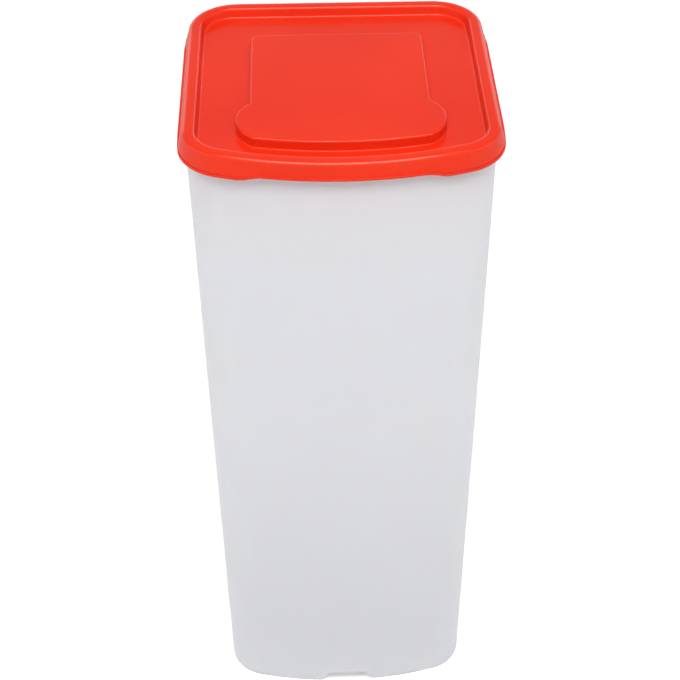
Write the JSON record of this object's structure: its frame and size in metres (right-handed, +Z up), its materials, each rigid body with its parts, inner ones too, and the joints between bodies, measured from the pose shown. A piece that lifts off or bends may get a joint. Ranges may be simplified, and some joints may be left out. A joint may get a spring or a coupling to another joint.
{
  "type": "bread storage container",
  "caption": "Tall tapered bread keeper with a bowed front, a milky translucent shell and a lift-off snap lid with a raised loaf-slice boss.",
  "frame": {"origin": "on the floor, under the middle of the lid's outline", "axes": "+Z up along the height, -Y towards the bowed front, +X to the right as seen from the front"},
  "size_m": [0.1384, 0.1434, 0.3284],
  "materials": {
    "milky_plastic": "milky translucent polypropylene, smooth with a soft satin shine",
    "red_plastic": "opaque tomato-red polypropylene, satin gloss"
  },
  "bodies": {
    "container": {"container": "milky_plastic"},
    "lid": {"lid": "red_plastic"}
  },
  "joints": [
    {"name": "lid_lift", "type": "slide", "parent": "container", "child": "lid", "axis": [0, 0, 1], "range_m": [0, 0.06]}
  ]
}
